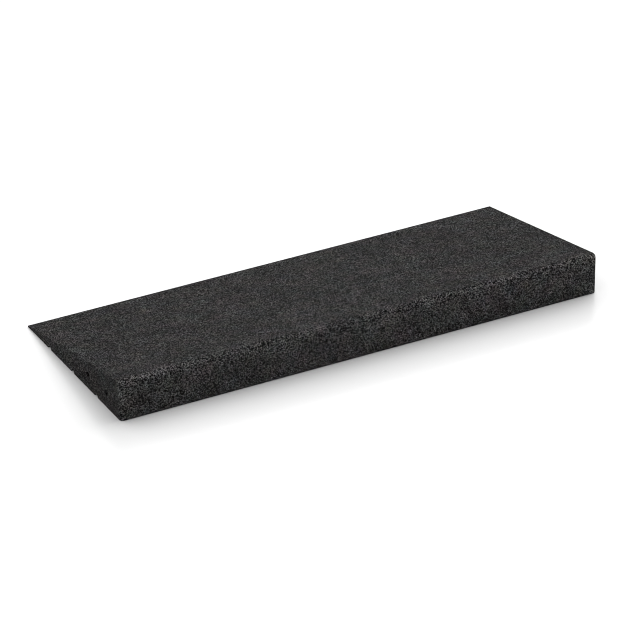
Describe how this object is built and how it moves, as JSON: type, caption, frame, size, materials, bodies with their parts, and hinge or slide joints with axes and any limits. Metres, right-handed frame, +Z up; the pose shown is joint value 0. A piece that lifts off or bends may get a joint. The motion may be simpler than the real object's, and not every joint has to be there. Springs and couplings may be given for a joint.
{
  "type": "portable wheelchair threshold ramp",
  "caption": "Portable rubber threshold ramp: a wedge with drainage channels under it, bores in both end faces, and loose dowels that join it to the next ramp.",
  "frame": {"origin": "on the floor, under the middle of the ramp's footprint", "axes": "+X along the step, from end face to end face; +Y down the slope, from the tall face to the thin lip; +Z up"},
  "size_m": [0.75, 0.3, 0.06],
  "materials": {
    "granulate_rubber": "matte, fine bonded granulate",
    "dowel_plastic": "satin moulded plastic"
  },
  "bodies": {
    "ramp": {"ramp_block": "granulate_rubber"},
    "tall_face_dowel": {"dowel_near_tall_face": "dowel_plastic"},
    "lip_dowel": {"dowel_near_lip": "dowel_plastic"}
  },
  "joints": [
    {"name": "tall_face_dowel_slide", "type": "slide", "parent": "ramp", "child": "tall_face_dowel", "axis": [1, 0, 0], "range_m": [0, 0.062]},
    {"name": "lip_dowel_slide", "type": "slide", "parent": "ramp", "child": "lip_dowel", "axis": [1, 0, 0], "range_m": [0, 0.062]}
  ]
}
